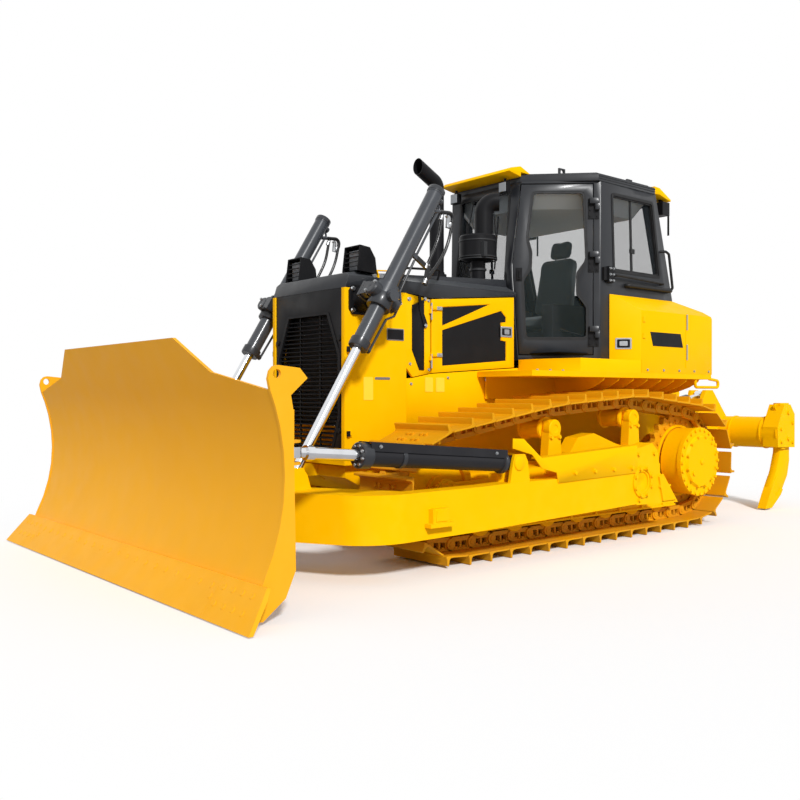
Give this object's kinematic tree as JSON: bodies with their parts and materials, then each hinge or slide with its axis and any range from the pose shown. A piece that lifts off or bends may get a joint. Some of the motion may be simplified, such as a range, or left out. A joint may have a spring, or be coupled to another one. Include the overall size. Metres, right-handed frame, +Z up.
{
  "type": "crawler bulldozer",
  "caption": "Crawler bulldozer with a blade on a C-frame, lift, angle and tilt cylinders, a glazed cab and a rear ripper; blade, ripper and doors move.",
  "frame": {"origin": "on the ground, below the middle of the machine's length and width", "axes": "+X forward, towards the blade; +Y to the machine's left; +Z up"},
  "size_m": [6.94, 3.755, 3.107],
  "materials": {
    "machine_yellow": "semi-gloss machine yellow",
    "blade_yellow": "satin yellow",
    "dark_grey_paint": "satin dark grey",
    "black_trim": "matte black",
    "engine_grey": "painted casting",
    "tinted_glass": "lightly tinted",
    "seat_fabric": "dark woven cover",
    "chrome_rod": "hard chrome"
  },
  "bodies": {
    "tractor": {"cab_frame": "dark_grey_paint", "cab_glass": "tinted_glass", "cab_roof": "dark_grey_paint", "console": "black_trim", "corner_plates": "black_trim", "deck": "machine_yellow", "engine_block": "engine_grey", "exhaust_pipe": "dark_grey_paint", "final_drives": "machine_yellow", "fuel_tank": "machine_yellow", "grille": "black_trim", "hood": "black_trim", "idlers": "machine_yellow", "lift_brackets": "dark_grey_paint", "main_frame": "machine_yellow", "pre_cleaner": "black_trim", "radiator_housing": "machine_yellow", "ripper_mount": "machine_yellow", "seat": "seat_fabric", "side_covers": "machine_yellow", "sprockets": "machine_yellow", "track_frames": "machine_yellow", "track_left": "machine_yellow", "track_right": "machine_yellow", "track_rollers": "machine_yellow", "visors": "machine_yellow", "work_lamps": "black_trim"},
    "lift_frame": {"c_frame": "machine_yellow", "arm_guards": "machine_yellow"},
    "lift_barrels": {"lift_barrels": "dark_grey_paint"},
    "lift_rods": {"lift_rods": "chrome_rod"},
    "blade": {"blade": "blade_yellow", "cutting_edges": "blade_yellow"},
    "angle_cylinder_left": {"angle_barrel_left": "dark_grey_paint", "angle_rod_left": "chrome_rod"},
    "angle_cylinder_right": {"angle_barrel_right": "dark_grey_paint", "angle_rod_right": "chrome_rod"},
    "tilt_barrel": {"tilt_barrel": "machine_yellow"},
    "tilt_rod": {"tilt_rod": "chrome_rod"},
    "ripper": {"ripper_beam": "machine_yellow", "ripper_shanks": "machine_yellow"},
    "ripper_barrels": {"ripper_barrels": "machine_yellow"},
    "ripper_rods": {"ripper_rods": "chrome_rod"},
    "cab_door_left": {"cab_door_left": "dark_grey_paint", "door_glass_left": "tinted_glass"},
    "cab_door_right": {"cab_door_right": "dark_grey_paint", "door_glass_right": "tinted_glass"},
    "engine_door_left": {"engine_door_left": "machine_yellow"},
    "engine_door_right": {"engine_door_right": "machine_yellow"}
  },
  "joints": [
    {"name": "blade_lift", "type": "hinge", "parent": "tractor", "child": "lift_frame", "pos_m": [-0.365, 0, 0.472], "axis": [0, -1, 0], "range_deg": [0, 15]},
    {"name": "lift_cylinder_swing", "type": "hinge", "parent": "tractor", "child": "lift_barrels", "pos_m": [1.715, 0, 1.84], "axis": [0, -1, 0], "range_deg": [0, 18.44]},
    {"name": "lift_rod_slide", "type": "slide", "parent": "lift_barrels", "child": "lift_rods", "axis": [0.5262, 0, -0.8503], "range_m": [-0.6494, 0]},
    {"name": "blade_tilt", "type": "hinge", "parent": "lift_frame", "child": "blade", "pos_m": [2.97, 0, 0.43], "axis": [1, 0, 0], "range_deg": [-6, 6]},
    {"name": "angle_cylinder_left_swing", "type": "hinge", "parent": "lift_frame", "child": "angle_cylinder_left", "pos_m": [1.06, 1.33, 0.686], "axis": [0.0236, -0.9566, -0.2906], "range_deg": [-4.59, 4.59]},
    {"name": "angle_cylinder_right_swing", "type": "hinge", "parent": "lift_frame", "child": "angle_cylinder_right", "pos_m": [1.06, -1.33, 0.686], "axis": [0.0236, 0.9566, -0.2906], "range_deg": [-4.55, 4.55]},
    {"name": "tilt_cylinder_swing", "type": "hinge", "parent": "lift_frame", "child": "tilt_barrel", "pos_m": [3.01, 0.43, 0.7], "axis": [1, 0, 0], "range_deg": [-3.98, 3.98]},
    {"name": "tilt_rod_slide", "type": "slide", "parent": "tilt_barrel", "child": "tilt_rod", "axis": [0, -0.9407, 0.3391], "range_m": [-0.04227, 0.04227]},
    {"name": "ripper_lift", "type": "hinge", "parent": "tractor", "child": "ripper", "pos_m": [-2.25, 0, 0.62], "axis": [0, 1, 0], "range_deg": [0, 28]},
    {"name": "ripper_cylinder_swing", "type": "hinge", "parent": "tractor", "child": "ripper_barrels", "pos_m": [-2.19, 0, 1.02], "axis": [0, 1, 0], "range_deg": [0, 32.29]},
    {"name": "ripper_rod_slide", "type": "slide", "parent": "ripper_barrels", "child": "ripper_rods", "axis": [-0.9853, 0, 0.1708], "range_m": [-0.19093, 0]},
    {"name": "cab_door_left_swing", "type": "hinge", "parent": "tractor", "child": "cab_door_left", "pos_m": [-0.48211, 0.86311, 2.2], "axis": [0, 0, 1], "range_deg": [0, 180]},
    {"name": "cab_door_right_swing", "type": "hinge", "parent": "tractor", "child": "cab_door_right", "pos_m": [-0.48211, -0.86311, 2.2], "axis": [0, 0, -1], "range_deg": [0, 180]},
    {"name": "engine_door_left_swing", "type": "hinge", "parent": "tractor", "child": "engine_door_left", "pos_m": [1.05, 0.484, 1.6], "axis": [0, 0, -1], "range_deg": [0, 95]},
    {"name": "engine_door_right_swing", "type": "hinge", "parent": "tractor", "child": "engine_door_right", "pos_m": [1.05, -0.484, 1.6], "axis": [0, 0, 1], "range_deg": [0, 95]}
  ],
  "couplings": [
    {"joint": "lift_cylinder_swing", "follows": "blade_lift", "ratio": 1.2247},
    {"joint": "lift_rod_slide", "follows": "blade_lift", "m_per_rad": -2.4706},
    {"joint": "angle_cylinder_left_swing", "follows": "blade_tilt", "ratio": 0.7582},
    {"joint": "angle_cylinder_right_swing", "follows": "blade_tilt", "ratio": 0.75221},
    {"joint": "tilt_cylinder_swing", "follows": "blade_tilt", "ratio": 0.65738},
    {"joint": "tilt_rod_slide", "follows": "blade_tilt", "m_per_rad": 0.40047},
    {"joint": "ripper_cylinder_swing", "follows": "ripper_lift", "ratio": 1.1486},
    {"joint": "ripper_rod_slide", "follows": "ripper_lift", "m_per_rad": -0.38914}
  ]
}
